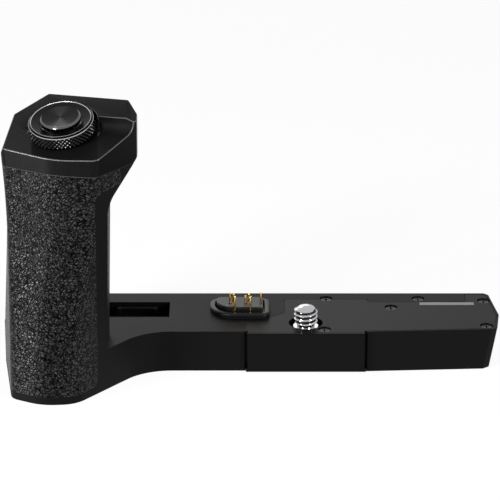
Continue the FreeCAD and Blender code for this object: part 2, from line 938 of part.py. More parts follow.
def make_button_guide():
    top = board_top - board_thick
    flange = rod(0, 0, top - guide_flange, top, guide_flange_radius)
    post = rod(0, 0, top, hub_top - 0.1, guide_radius)
    foot = box(-guide_leg_x, -1.2, top - guide_flange, -guide_flange_radius + 1, 1.2, top)
    leg = box(-guide_leg_x, -1.2, top - guide_flange, -guide_leg_x + 1.1, 1.2, -deck_wall)
    shape = join([flange, post, foot, leg])
    return on_deck(shape.cut(rod(0, 0, -far, far, stem_radius + running_gap)))


def make_shutter_button():
    low = button_top - button_thick
    disc = rod(0, 0, low, button_top - 0.4, button_radius)
    bevel = Part.makeCone(button_radius, button_radius - 0.4, 0.4, Vector(0, 0, button_top - 0.4))
    dish = Part.makeSphere(24.0, Vector(0, 0, button_top + 24.0 - 0.25))
    return on_deck(join([disc, bevel]).cut(dish))


def make_button_stem():
    low = button_top - button_thick
    return on_deck(rod(0, 0, stem_low, low, stem_radius))


def make_shutter_switch():
    high = board_top - board_thick - guide_flange
    top = stem_low - button_travel - loose_gap
    body = box(-3.2, -2.6, top - 1.4, 3.2, 2.6, top)
    cheeks = [box(x, -2.6, top, x + 0.8, 2.6, high) for x in (-3.2, 2.4)]
    return on_deck(join([body] + cheeks))


def make_flex_cable():
    """The printed film from the switch down the column and along the plate."""
    top = flex_top()
    right = flex_left + flex_width
    down = box(flex_left, flex_front, flex_z, right, flex_front + flex_thick, top)
    foot = box(flex_left, flex_front, flex_z, right, flex_back, flex_z + flex_thick)
    run = box(flex_left, flex_back - 4.0, flex_z, socket_left + 4.0, flex_back, flex_z + flex_thick)
    end = box(socket_left + 4.0 - flex_thick, flex_back - 4.0, flex_z, socket_left + 4.0,
              flex_back, -3.0 - board_thick)
    return join([down, foot, run, end])


def flex_top():
    """Just below the switch's underside, above the film's own place."""
    low = stem_low - button_travel - loose_gap - 1.4
    point = above_deck(low)
    return point.z - 0.6


def make_chassis_bracket():
    """The metal angle that ties the column to the plate."""
    low = -frame_thickness + foot_floor
    high = low + bracket_thick
    right = bracket_left + bracket_width
    foot = box(bracket_left, plate_hollow_front + 3.0, low, -30.0, plate_hollow_back - 3.6, high)
    link = box(bracket_left, bracket_y, low, right, 0.0, high)
    leg = box(bracket_left, bracket_y, low, right, bracket_y + bracket_thick, bracket_high)
    return join([foot, link, leg])


def make_bottom_cover():
    return bottom_cover_solid(0.0).cut(bottom_screw_space())


def centre_outline():
    return [
        (-centre_half, -centre_front),
        (centre_half, -centre_front),
        (centre_half, rail_front),
        (socket_right + 4.0, rail_front),
        (socket_right + 4.0, socket_front + 4.4),
        (socket_right - 0.3, socket_front + 0.8),
        (-centre_half, socket_front + 0.8),
    ]


def side_grooves():
    """The two upright grooves where the plate's three sections meet at the front."""
    grooves = []
    for x in (-centre_half, centre_half - groove_width):
        grooves.append(box(x, -centre_front - 1, -centre_thickness + groove_stop, x + groove_width,
                           -plate_front + groove_depth, 1.0))
    return Part.makeCompound(grooves)


def front_edge_cut(x0, x1, y0, y1):
    """A three-sided bar that chamfers a top edge running from (x0, y0) to (x1, y1)."""
    points = [
        Vector(x0, y0 - 1.0, -edge_chamfer - 1.0),
        Vector(x0, y0 + edge_chamfer + 1.0, 1.0),
        Vector(x0, y0 - 1.0, 1.0),
    ]
    face = Part.Face(Part.makePolygon(points + points[:1]))
    return face.extrude(Vector(x1 - x0, y1 - y0, 0))


def make_centre_block():
    outline = centre_outline()
    shape = slab(outline, [0.4, 0.4] + [0.2] * 5, -centre_thickness, 0.0)
    shape = shape.cut(front_edge_cut(-centre_half, centre_half, -centre_front, -centre_front))
    shape = shape.cut(side_grooves())
    shape = shape.cut(plate_cover_solid())
    shape = shape.cut(socket_hollow())
    shape = shape.cut(socket_slab(0.0, -shelf_depth - 1.0, 1.0))
    shape = shape.cut(rod(0, 0, -far, bearing_low_z, knob_radius + 0.4))
    shape = shape.cut(rod(0, 0, -far, 1.0, neck_radius + running_gap))
    shape = shape.cut(rod(0, 0, bearing_high_z, 1.0, screw_hole))
    shape = shape.cut(rod(0, bush_y, -far, -centre_thickness + tripod_depth + 1.0, tripod_radius))
    shape = shape.cut(Part.makeCompound(pad_solids()))
    return shape.cut(top_screw_space())


def end_outline(shift):
    return [
        (centre_half, -end_front),
        (end_tip_x - shift, -end_front_tip),
        (end_nose_x - 1.0 - shift, -end_front_tip + 1.4),
        (end_nose_x - shift, end_nose_y),
        (end_back_x - shift, plate_back - 1.2),
        (end_back_x - 1.2 - shift, plate_back),
        (rail_end_x, plate_back),
        (rail_end_x, rail_step_y),
        (rail_step_x, rail_step_y),
        (rail_step_x, rail_front),
        (centre_half, rail_front),
    ]


end_radii = [0.4, 0.8, 0.8, 1.0, 0.7, 0.7] + [0.2] * 5


def make_end_tray():
    top = rounded_wire(end_outline(0.0), end_radii, 0.0)
    bottom = rounded_wire(end_outline(end_taper), end_radii, -end_thickness)
    shape = Part.makeLoft([bottom, top], True, True)
    floor = -end_thickness + plate_wall
    points = [
        (centre_half, -end_front),
        (end_tip_x - end_taper, -end_front_tip),
        (end_nose_x - end_taper, end_nose_y),
        (end_back_x - end_taper, rail_step_y),
        (centre_half, rail_step_y),
    ]
    hollow = slab(inset(points, plate_wall), [0.8] * 5, floor, -cover_thick)
    posts = [rod(x, y, -far, far, 2.0) for x, y in top_screw_spots()]
    shape = shape.cut(hollow.cut(Part.makeCompound(posts)))
    shape = shape.cut(front_edge_cut(centre_half, end_tip_x, -end_front, -end_front_tip))
    shape = shape.cut(plate_cover_solid())
    return shape.cut(top_screw_space())


def plate_cover_outline():
    front = -centre_front + cover_rim
    points = [
        (-centre_half, front),
        (centre_half - 0.4, front),
        (centre_half + 0.4, -end_front + cover_rim),
        (end_tip_x - 0.3, -end_front_tip + cover_rim),
        (end_nose_x - 1.6, -end_front_tip + 2.0),
        (end_nose_x - 0.6, end_nose_y),
        (end_back_x - 0.6, plate_back - 2.0),
        (end_back_x - 1.8, plate_back - 0.8),
        (rail_end_x, plate_back - 0.8),
        (rail_end_x, rail_step_y),
        (rail_step_x, rail_step_y),
        (rail_step_x, rail_front),
        (socket_right + 4.0, rail_front),
        (socket_right + 4.0, socket_front + 4.4),
        (socket_right - 0.3, socket_front + 0.8),
        (-centre_half, socket_front + 0.8),
    ]
    return points


def plate_cover_solid():
    points = plate_cover_outline()
    return slab(points, [0.2] * len(points), -cover_thick, 0.0)


def cover_seam():
    """The narrow slot that shows round the cover's edge."""
    points = inset(plate_cover_outline(), seam_width)
    inner = slab(points, [0.2] * len(points), -far, far)
    return plate_cover_solid().cut(inner).common(box(-far, -far, -seam_depth, far, far, 1.0))


def make_plate_cover():
    shape = plate_cover_solid().cut(socket_slab(0.0, -far, 1.0)).cut(cover_seam())
    shape = shape.cut(side_grooves())
    shape = shape.cut(make_blank_label())
    shape = shape.cut(rod(0, 0, -far, 1.0, screw_hole))
    return shape.cut(top_screw_space())


def make_camera_screw():
    shank = rod(0, 0, 0, screw_height - screw_tip, screw_radius)
    tip = Part.makeCone(screw_radius, screw_radius - screw_tip, screw_tip,
                        Vector(0, 0, screw_height - screw_tip))
    neck = rod(0, 0, bearing_low_z - loose_gap, 0, neck_radius)
    flange = rod(0, 0, flange_low, flange_high, flange_radius)
    return join([neck, flange, shank, tip])


def make_screw_washer():
    return tube(0, 0, bearing_high_z, bearing_high_z + 0.5, screw_hole - 0.1, neck_radius + running_gap)


def make_screw_clip():
    low = bearing_high_z + 0.5 + loose_gap / 2
    ring = tube(0, 0, low, low + 0.5, screw_radius + 0.2, neck_radius)
    return ring.cut(box(0, -1.0, low - 1, far, 1.0, low + 2))


def make_screw_knob():
    high = bearing_low_z - loose_gap
    low = high - knob_height
    body = star_prism(knob_knurls, knob_radius, knob_radius - 0.3, low + 0.4, high - 0.4)
    rims = [rod(0, 0, z, z + 0.4, knob_radius - 0.5) for z in (low, high - 0.4)]
    shape = join([body] + rims)
    coin_slot = box(-far, -0.9, low - 1, far, 0.9, low + 1.8)
    return shape.cut(coin_slot)


def make_tripod_bush():
    high = -centre_thickness + tripod_depth
    shape = rod(0, bush_y, -centre_thickness, high + 1.0, tripod_radius)
    return shape.cut(rod(0, bush_y, -far, high, tripod_hole))


def pad_solids():
    low = -frame_thickness
    high = -centre_thickness + pad_depth
    pads = []
    for x in (-pad_left - pad_width, pad_left):
        points = [
            (x, -centre_front + 1.4 + pad_length),
            (x, -centre_front + 1.4),
            (x + pad_width, -centre_front + 1.4),
            (x + pad_width, -centre_front + 1.4 + pad_length),
        ]
        pads.append(slab(points, [1.0] * 4, low, high))
    return pads


def make_blank_label():
    high = rail_step_y - 0.3
    low = high - label_width
    right = label_left + label_length
    points = [(label_left, high), (label_left, low), (right, low), (right, high)]
    return slab(points, [0.4] * 4, -label_thick, 0.0)


makers = {
    "grip_frame": make_grip_frame,
    "leather_cover": make_leather_cover,
    "column_back_cover": make_column_back_cover,
    "back_screws": make_back_screws,
    "top_cap": make_top_cap,
    "cap_screws": make_cap_screws,
    "dial_bush": make_dial_bush,
    "dial_ring": make_dial_ring,
    "dial_hub": make_dial_hub,
    "dial_plate": make_dial_plate,
    "dial_clip": make_dial_clip,
    "click_wheel": make_click_wheel,
    "click_spring": make_click_spring,
    "encoder_board": make_encoder_board,
    "button_guide": make_button_guide,
    "shutter_button": make_shutter_button,
    "button_stem": make_button_stem,
    "shutter_switch": make_shutter_switch,
    "flex_cable": make_flex_cable,
    "chassis_bracket": make_chassis_bracket,
    "pocket_bar": make_pocket_bar,
    "connector_collar": make_connector_collar,
    "connector_plug": make_connector_plug,
    "contact_pins": make_contact_pins,
    "connector_seal": make_connector_seal,
    "connector_board": make_connector_board,
    "centre_block": make_centre_block,
    "end_tray": make_end_tray,
    "plate_cover": make_plate_cover,
    "top_screws": make_top_screws,
    "camera_screw": make_camera_screw,
    "screw_washer": make_screw_washer,
    "screw_clip": make_screw_clip,
    "screw_knob": make_screw_knob,
    "tripod_bush": make_tripod_bush,
    "bottom_cover": make_bottom_cover,
    "bottom_screws": make_bottom_screws,
    "rubber_pads": lambda: Part.makeCompound(pad_solids()),
    "blank_label": make_blank_label,
}


def main():
    os.makedirs("parts", exist_ok=True)
    for name, maker in makers.items():
        shape = maker()
        print(name, shape.isValid(), len(shape.Solids), round(shape.Volume, 1))
        shape.exportStep("parts/" + name + ".step")


main()
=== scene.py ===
import json
import math

import bpy
from mathutils import Matrix, Vector

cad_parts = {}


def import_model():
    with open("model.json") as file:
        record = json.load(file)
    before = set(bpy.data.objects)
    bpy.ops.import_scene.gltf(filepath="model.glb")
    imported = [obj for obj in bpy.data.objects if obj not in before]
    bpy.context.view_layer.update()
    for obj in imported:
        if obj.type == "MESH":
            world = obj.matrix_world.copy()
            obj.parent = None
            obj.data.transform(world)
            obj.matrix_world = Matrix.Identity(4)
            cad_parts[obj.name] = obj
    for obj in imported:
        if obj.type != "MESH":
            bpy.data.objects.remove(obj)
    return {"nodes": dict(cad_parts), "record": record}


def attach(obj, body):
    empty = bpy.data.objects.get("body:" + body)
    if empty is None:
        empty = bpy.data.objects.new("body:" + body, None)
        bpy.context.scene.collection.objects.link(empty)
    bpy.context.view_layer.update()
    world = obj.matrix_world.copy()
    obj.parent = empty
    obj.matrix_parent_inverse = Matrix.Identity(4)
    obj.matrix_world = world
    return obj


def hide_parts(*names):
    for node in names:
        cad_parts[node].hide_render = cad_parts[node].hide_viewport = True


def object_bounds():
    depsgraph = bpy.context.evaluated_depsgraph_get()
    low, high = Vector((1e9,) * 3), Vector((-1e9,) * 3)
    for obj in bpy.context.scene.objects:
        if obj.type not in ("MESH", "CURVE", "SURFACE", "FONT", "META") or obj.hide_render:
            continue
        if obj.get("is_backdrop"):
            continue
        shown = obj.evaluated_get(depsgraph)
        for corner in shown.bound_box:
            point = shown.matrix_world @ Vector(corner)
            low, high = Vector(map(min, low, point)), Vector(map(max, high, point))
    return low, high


# Camera of the picture: its place in metres, its tilt in degrees, lens and film width in millimetres
CAMERA_PLACE = (-0.01485, -0.7372, 0.3112)
CAMERA_TILT = 68.5
CAMERA_LENS = 216.0
CAMERA_FILM = 36.0

# Lengths are written in millimetres unless a heading says metres
MM = 0.001

# The tilted deck's own frame, in metres: the dial and the button turn about its third axis
DECK_POINT = Vector((-0.0624, -0.0164, 0.05905))
DECK_LEAN = math.radians(6.0)
DECK_TILT = math.radians(16.0)

# Dial ring, in millimetres from the deck
DIAL_RADIUS = 8.5
DIAL_LOW = 0.5
DIAL_HIGH = 4.6

# Knurl: diamonds round the rim, each cut in steps across and up, and the depth beyond which the grooves are
# painted darker as shade
KNURLS = 46
KNURL_DEPTH = 0.5
KNURL_PITCH = 2 * math.pi * DIAL_RADIUS / KNURLS
KNURL_LOW = DIAL_LOW + 0.45
KNURL_CUTS = 8
KNURL_ROWS = 20
KNURL_SHADE = 0.8 * KNURL_DEPTH

# The ring's top from the knurl inwards: how far in from the rim and how far below the top
RING_TOP = (
    (0.28, 0.62), (0.12, 0.54), (0.13, 0.46), (0.22, 0.38),
    (0.28, 0.40), (0.66, 0.10), (0.70, 0.02), (0.80, 0.0),
)
# The strips of it that are left bright
RING_LANDS = (1, 2, 6, 7)

# Button, and the rows of its faces that are its polished bevel
BUTTON_RADIUS = 5.2
BUTTON_LOW = 4.1
BUTTON_HIGH = 5.5
BUTTON_HOLLOW = 0.22
BUTTON_RIM = BUTTON_RADIUS - 0.5
BUTTON_FACE = BUTTON_HIGH - 0.03
BUTTON_RINGS = 14
BUTTON_BEVEL = (2, 3)

# Dished plate between the ring and the button
PLATE_OUTER = 7.6
PLATE_INNER = BUTTON_RADIUS + 0.3
PLATE_FOOT = DIAL_HIGH - 2.1

# Camera screw, a 1/4 inch thread of 20 turns to the inch, from the plate's top face
SCREW_RADIUS = 3.175
SCREW_HIGH = 5.0
SCREW_ROUND = SCREW_HIGH - 1.3
SCREW_NECK = 2.4
SCREW_NECK_LOW = -0.8
SCREW_NECK_HIGH = 0.35
SCREW_FOOT = -4.9
SCREW_ROWS = 60
SCREW_STEPS = 96

# Thread: the share of a turn that is crest, the slope beside it, and the depth beyond which its roots are
# painted dark as shade
THREAD_PITCH = 1.27
THREAD_DEPTH = 0.62
THREAD_CREST = 0.1
THREAD_SLOPE = 1.25
THREAD_SHADE = 0.55 * THREAD_DEPTH

# Round pieces: steps round a plain one, and the radius that stands for the axis itself
ROUND_STEPS = 128
AXIS = 0.001

# Leather grain, round the column's middle: pebbles to the millimetre, and their creases' widths
COLUMN_MIDDLE = (-64.0, -12.0)
COLUMN_REACH = 14.0
GRAIN_ALONG = 0.75
GRAIN_ACROSS = 1.5
GRAIN_CREASE = (0.05, 0.28)
GRAIN_DEPTH = 0.05

# Patches in which the pebbles slant one way or the other, and spots where they are worn low
PATCH_SCALE = 0.16
PATCH_EDGE = (0.46, 0.54)
WORN_SCALE = 1.2
WORN_EDGE = (0.38, 0.58)
WORN_HEIGHT = 0.35

# Noise in the other finishes: cells to the millimetre, and the values most of it lies between
NOISE_FINE = 5.0
NOISE_METAL = 2.5
NOISE_BROAD = 0.12
NOISE_SPREAD = (0.3, 0.7)
UNEVEN_COLOUR = 0.15
SMOOTHER = 0.05
ROUGHER = 0.07
COOL = 1.02

# Streaks of the cap's finish: upright, cells to the millimetre along each axis
STREAKS = (7.0, 7.0, 0.35)

# Edges: the rounding and the distance that welds points in metres, and the angles
EDGE_SOFT = 0.0002
WELD = 0.000002
FLAT = math.radians(0.6)
SHARP = math.radians(28.0)

# Stage, in metres
LIT_POINT = (-0.066, -0.02, 0.03)
FLOOR_GAP = 0.0001
FLOOR_HALF = 3.0
FLOOR_GREY = 0.2
FLOOR_GLOW = 0.9
DOME_LIGHT = 0.05


def deck_normal():
    return Vector((-math.tan(DECK_LEAN), -math.tan(DECK_TILT), 1.0)).normalized()


def deck_matrix():
    """From millimetres in the deck's frame to millimetres in the scene's."""
    normal = deck_normal()
    across = Vector((0, 1, 0)).cross(normal).normalized()
    back = normal.cross(across).normalized()
    turn = Matrix((across, back, normal)).transposed().to_4x4()
    return Matrix.Translation(DECK_POINT / MM) @ turn


# Shader helpers
class Shader:
    """A short way to write a node material round one Principled shader."""

    def __init__(self, name):
        self.material = bpy.data.materials.new(name)
        self.material.use_nodes = True
        self.tree = self.material.node_tree
        self.main = self.tree.nodes["Principled BSDF"]
        self.place = self.coordinates()

    def coordinates(self):
        """Object coordinates counted in millimetres."""
        source = self.tree.nodes.new("ShaderNodeTexCoord")
        scale = self.tree.nodes.new("ShaderNodeVectorMath")
        scale.operation = "SCALE"
        scale.inputs["Scale"].default_value = 1 / MM
        self.tree.links.new(source.outputs["Object"], scale.inputs[0])
        return scale.outputs[0]

    def set(self, name, value):
        """Puts a number, a colour or another node's output on one of the shader's sockets."""
        socket = self.main.inputs[name]
        if isinstance(value, bpy.types.NodeSocket):
            self.tree.links.new(value, socket)
        elif isinstance(value, tuple):
            socket.default_value = (*value, 1.0)
        else:
            socket.default_value = value

    def fill(self, node, values):
        for index, value in enumerate(values):
            if isinstance(value, bpy.types.NodeSocket):
                self.tree.links.new(value, node.inputs[index])
            else:
                node.inputs[index].default_value = value

    def math(self, operation, *values):
        node = self.tree.nodes.new("ShaderNodeMath")
        node.operation = operation
        self.fill(node, values)
        return node.outputs[0]

    def vector(self, operation, *values):
        node = self.tree.nodes.new("ShaderNodeVectorMath")
        node.operation = operation
        self.fill(node, values)
        return node.outputs["Value" if operation == "DOT_PRODUCT" else "Vector"]

    def split(self, vector):
        node = self.tree.nodes.new("ShaderNodeSeparateXYZ")
        self.fill(node, (vector,))
        return node.outputs

    def join(self, *values):
        node = self.tree.nodes.new("ShaderNodeCombineXYZ")
        self.fill(node, values)
        return node.outputs[0]

    def noise(self, vector, scale, detail):
        node = self.tree.nodes.new("ShaderNodeTexNoise")
        node.inputs["Scale"].default_value = scale
        node.inputs["Detail"].default_value = detail
        self.tree.links.new(vector, node.inputs["Vector"])
        return node.outputs["Fac"]

    def cells(self, vector, scale):
        """How far a place is from the nearest edge between scattered cells."""
        node = self.tree.nodes.new("ShaderNodeTexVoronoi")
        node.feature = "DISTANCE_TO_EDGE"
        node.inputs["Scale"].default_value = scale
        self.tree.links.new(vector, node.inputs["Vector"])
        return node.outputs["Distance"]

    def between(self, value, limits, results):
        """The value's place between two limits, brought between two results."""
        node = self.tree.nodes.new("ShaderNodeMapRange")
        self.fill(node, (value, *limits, *results))
        return node.outputs["Result"]

    def blend(self, share, dark, light):
        """A colour between two, by a share."""
        node = self.tree.nodes.new("ShaderNodeMix")
        node.data_type = "RGBA"
        node.inputs["A"].default_value = (*dark, 1.0)
        node.inputs["B"].default_value = (*light, 1.0)
        self.tree.links.new(share, node.inputs["Factor"])
        return node.outputs["Result"]

    def bump(self, height, depth):
        """A relief whose height runs from 0 to 1 and whose depth is given in millimetres."""
        node = self.tree.nodes.new("ShaderNodeBump")
        node.inputs["Distance"].default_value = depth * MM
        self.tree.links.new(height, node.inputs["Height"])
        self.set("Normal", node.outputs["Normal"])

    def upright_gloss(self, amount):
        """Spreads the gloss upright, as on a surface that was worked round its sides."""
        self.set("Anisotropic", amount)
        self.set("Tangent", self.vector("NORMALIZE", (0.0, 0.0, 1.0)))


def grey(level):
    return (level, level, level * COOL)


def moulded(name, level, rough, relief, gloss):
    """A moulding or a paint with a fine grain."""
    shader = Shader(name)
    fine = shader.noise(shader.place, NOISE_FINE, detail=3.0)
    broad = shader.noise(shader.place, NOISE_BROAD, detail=2.0)
    dark = grey(level * (1 - UNEVEN_COLOUR))
    light = grey(level * (1 + UNEVEN_COLOUR))
    shader.set("Base Color", shader.blend(broad, dark, light))
    shader.set("Roughness", shader.between(fine, NOISE_SPREAD, (rough - SMOOTHER, rough + ROUGHER)))
    shader.set("Specular IOR Level", gloss)
    if relief:
        shader.bump(fine, relief)
    return shader.material


def cap_moulding():
    """Satin black moulding from a tool polished round its sides."""
    shader = Shader("cap_moulding")
    upright = shader.vector("MULTIPLY", shader.place, STREAKS)
    streaks = shader.noise(upright, 1.0, detail=3.0)
    fine = shader.noise(shader.place, NOISE_FINE, detail=3.0)
    shader.set("Base Color", shader.blend(streaks, grey(0.003), grey(0.010)))
    shader.set("Roughness", shader.between(streaks, NOISE_SPREAD, (0.32, 0.44)))
    shader.set("Specular IOR Level", 0.045)
    shader.upright_gloss(0.9)
    shader.bump(shader.math("ADD", shader.math("MULTIPLY", streaks, 0.5), fine), 0.006)
    return shader.material


def pebbles(shader, along, across):
    """Small long pebbles that lie one way: 1 on a pebble's top and 0 in the creases round it."""
    long_way = shader.math("MULTIPLY", along, GRAIN_ALONG)
    short_way = shader.math("MULTIPLY", across, GRAIN_ACROSS)
    cells = shader.cells(shader.join(long_way, short_way), 1.0)
    return shader.between(cells, GRAIN_CREASE, (0.0, 1.0))


def grain(shader):
    """The leather's height from 0 to 1: pebbles that slant both ways on the skin round the column."""
    x, y, z = shader.split(shader.place)
    side = shader.math("SUBTRACT", x, COLUMN_MIDDLE[0])
    depth = shader.math("SUBTRACT", COLUMN_MIDDLE[1], y)
    round_it = shader.math("MULTIPLY", shader.math("ARCTAN2", side, depth), COLUMN_REACH)
    rising = shader.math("ADD", round_it, z)
    falling = shader.math("SUBTRACT", round_it, z)
    patch = shader.noise(shader.place, PATCH_SCALE, detail=1.0)
    share = shader.between(patch, PATCH_EDGE, (0.0, 1.0))
    rest = shader.math("SUBTRACT", 1.0, share)
    first = shader.math("MULTIPLY", pebbles(shader, rising, falling), rest)
    second = shader.math("MULTIPLY", pebbles(shader, falling, rising), share)
    spots = shader.noise(shader.place, WORN_SCALE, detail=1.0)
    worn = shader.between(spots, WORN_EDGE, (WORN_HEIGHT, 1.0))
    return shader.math("MULTIPLY", shader.math("ADD", first, second), worn)


def leather():
    """Black leather with a pressed grain: glossy on the pebbles, dull in the creases, with painted shade
    darkening the creases' colour and reflection.
    """
    shader = Shader("grained_leather")
    height = grain(shader)
    # Colour follows the grain's height: painted shade makes the creases near black, and the pebble tops are
    # lighter.
    shader.set("Base Color", shader.blend(height, grey(0.0005), grey(0.034)))
    shader.set("Roughness", shader.between(height, (0.0, 1.0), (0.6, 0.34)))
    shader.set("Specular IOR Level", 0.45)
    # Reflection tint follows the height too: painted shade that dims the creases' reflection.
    shader.set("Specular Tint", shader.blend(height, grey(0.02), grey(1.0)))
    shader.upright_gloss(0.85)
    shader.bump(height, GRAIN_DEPTH)
    return shader.material


def metal(name, colour, rough, uneven=0.04):
    """A metal whose colour and roughness vary a little."""
    shader = Shader(name)
    fine = shader.noise(shader.place, NOISE_METAL, detail=3.0)
    dark = tuple(part * (1 - UNEVEN_COLOUR) for part in colour)
    shader.set("Metallic", 1.0)
    shader.set("Base Color", shader.blend(fine, dark, colour))
    shader.set("Roughness", shader.between(fine, NOISE_SPREAD, (rough - uneven, rough + uneven)))
    return shader.material


def spun_metal():
    """Dark metal turned in fine rings, so that the light gathers in two fans."""
    radians_per_mm = 38.0
    shader = Shader("spun_metal")
    axis = tuple(deck_normal())
    offset = shader.vector("SUBTRACT", shader.place, tuple(DECK_POINT / MM))
    swirl = shader.vector("CROSS_PRODUCT", axis, offset)
    radius = shader.math("SQRT", shader.vector("DOT_PRODUCT", swirl, swirl))
    wave = shader.math("SINE", shader.math("MULTIPLY", radius, radians_per_mm))
    rings = shader.between(wave, (-1.0, 1.0), (0.0, 1.0))
    outward = shader.vector("CROSS_PRODUCT", swirl, axis)
    shader.set("Tangent", shader.vector("NORMALIZE", outward))
    shader.set("Metallic", 1.0)
    shader.set("Anisotropic", 0.9)
    shader.set("Roughness", 0.3)
    shader.set("Base Color", shader.blend(rings, grey(0.007), grey(0.020)))
    return shader.material


def circuit_board():
    """Green lacquer over raised tracks."""
    tracks_per_mm = 0.6
    track_edge = (0.05, 0.07)
    shader = Shader("circuit_board")
    lines = shader.between(shader.cells(shader.place, tracks_per_mm), track_edge, (1.0, 0.0))
    shader.set("Base Color", shader.blend(lines, (0.012, 0.07, 0.03), (0.03, 0.16, 0.07)))
    shader.set("Roughness", 0.3)
    shader.bump(lines, 0.02)
    return shader.material


def printed_film():
    """Amber film with copper conductors across it."""
    radians_per_mm = 9.0
    shader = Shader("printed_film")
    x, y, _ = shader.split(shader.place)
    along = shader.math("ADD", x, y)
    wave = shader.math("SINE", shader.math("MULTIPLY", along, radians_per_mm))
    lines = shader.between(wave, (0.0, 0.3), (0.0, 1.0))
    shader.set("Base Color", shader.blend(lines, (0.30, 0.12, 0.02), (0.55, 0.28, 0.07)))
    shader.set("Roughness", 0.35)
    return shader.material


def make_materials():
    return {
        "frame_plastic": moulded("frame_moulding", level=0.003, rough=0.5, relief=0.012, gloss=0.08),
        "leather": leather(),
        "cap_plastic": cap_moulding(),
        "plate_metal": moulded("plate_paint", level=0.003, rough=0.42, relief=0.010, gloss=0.08),
        "dial_metal": metal("dial_metal", colour=(0.62, 0.62, 0.63), rough=0.14),
        "dial_black": metal("dial_black", colour=(0.006, 0.006, 0.0061), rough=0.2, uneven=0.02),
        "dial_knurl": metal("dial_knurl", colour=(0.03, 0.03, 0.0305), rough=0.14, uneven=0.02),
        "dial_gloss": moulded("dial_gloss", level=0.003, rough=0.14, relief=0.0, gloss=0.18),
        "button_metal": spun_metal(),
        "steel": metal("steel", colour=(0.5, 0.5, 0.51), rough=0.3),
        "black_steel": moulded("black_steel", level=0.008, rough=0.3, relief=0.004, gloss=0.5),
        "screw_steel": metal("screw_steel", colour=(0.62, 0.62, 0.64), rough=0.13),
        # Dark metal for the thread's roots: painted shade.
        "screw_root_shade": metal("screw_root_shade", colour=(0.03, 0.03, 0.032), rough=0.3),
        "brass": metal("brass", colour=(0.66, 0.47, 0.18), rough=0.3),
        "gold": metal("gold", colour=(0.95, 0.62, 0.22), rough=0.18),
        "connector_plastic": moulded("connector_moulding", level=0.006, rough=0.32, relief=0.004, gloss=0.2),
        "rubber": moulded("rubber", level=0.012, rough=0.7, relief=0.03, gloss=0.2),
        "board": circuit_board(),
        "film": printed_film(),
        "label": moulded("label", level=0.34, rough=0.45, relief=0.004, gloss=0.4),
        # Light grey for the cap's black edge bevels: a painted highlight, not a finish of its own.
        "cap_edge_highlight": moulded("cap_edge_highlight", level=0.10, rough=0.25, relief=0.0, gloss=0.5),
        "button_edge": metal("button_edge", colour=(0.16, 0.16, 0.165), rough=0.16),
    }


# Mesh helpers
def soften(piece, edge):
    """Rounds a carried-over piece's edges, in a separate material if one is given (on the cap a painted
    highlight), and smooths its faces.
    """
    piece.data.shade_smooth()
    weld = piece.modifiers.new("weld", "WELD")
    weld.merge_threshold = WELD
    plane = piece.modifiers.new("plane", "DECIMATE")
    plane.decimate_type = "DISSOLVE"
    plane.angle_limit = FLAT
    bevel = piece.modifiers.new("edges", "BEVEL")
    bevel.width = EDGE_SOFT
    bevel.segments = 2
    bevel.limit_method = "ANGLE"
    bevel.angle_limit = SHARP
    bevel.miter_outer = "MITER_ARC"
    bevel.use_clamp_overlap = edge is None
    if edge is not None:
        piece.data.materials.append(edge)
        bevel.material = 1
    normals = piece.modifiers.new("normals", "WEIGHTED_NORMAL")
    normals.keep_sharp = True
    normals.weight = 80


def paint_nodes(frame, materials):
    """Gives every carried-over piece its finish and soft edges, and the cap's edge bevels a light grey
    material as a painted highlight.
    """
    for row in frame["record"]["subparts"]:
        piece = frame["nodes"][row["node"]]
        piece.data.materials.clear()
        piece.data.materials.append(materials[row["material_slot"]])
        # The cap's bevels get the light grey of a painted highlight.
        soften(piece, materials["cap_edge_highlight"] if row["node"] == "top_cap" else None)


def new_piece(name, points, faces, matrix, body, node, slot, materials):
    """A new mesh, given in millimetres, that stands for one carried-over piece."""
    mesh = bpy.data.meshes.new(name)
    placed = [matrix @ Vector(point) * MM for point in points]
    mesh.from_pydata(placed, [], faces)
    mesh.shade_smooth()
    mesh.materials.append(materials[slot])
    piece = bpy.data.objects.new(name, mesh)
    bpy.context.scene.collection.objects.link(piece)
    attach(piece, body)
    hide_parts(node)
    return piece


def turned(profile, steps):
    """Points and faces of a profile of (radius, height, wave) turned about the third axis."""
    points = []
    for radius, height, wave in profile:
        for step in range(steps):
            angle = 2 * math.pi * step / steps
            reach = radius if wave is None else radius - wave(angle, height)
            points.append((reach * math.cos(angle), reach * math.sin(angle), height))
    faces = []
    for row in range(len(profile) - 1):
        for step in range(steps):
            after = (step + 1) % steps
            low = row * steps
            high = low + steps
            faces.append((low + step, low + after, high + after, high + step))
    return points, faces


def cut_depth(wave, profile, row, step, steps):
    """How deep a wave cuts at the middle of one face of a turned profile."""
    height = (profile[row][1] + profile[row + 1][1]) / 2
    return wave(2 * math.pi * (step + 0.5) / steps, height)


def sharp_edges(piece, degrees):
    piece.data.set_sharp_from_angle(angle=math.radians(degrees))


# Dial and button
def diamond(angle, height):
    """How deep the knurl's two crossing families of grooves go at a place on the dial's rim."""
    along = angle * KNURLS / (2 * math.pi)
    across = height / KNURL_PITCH
    first = abs((along + across) % 1.0 - 0.5) * 2
    second = abs((along - across) % 1.0 - 0.5) * 2
    return KNURL_DEPTH * max(first, second)


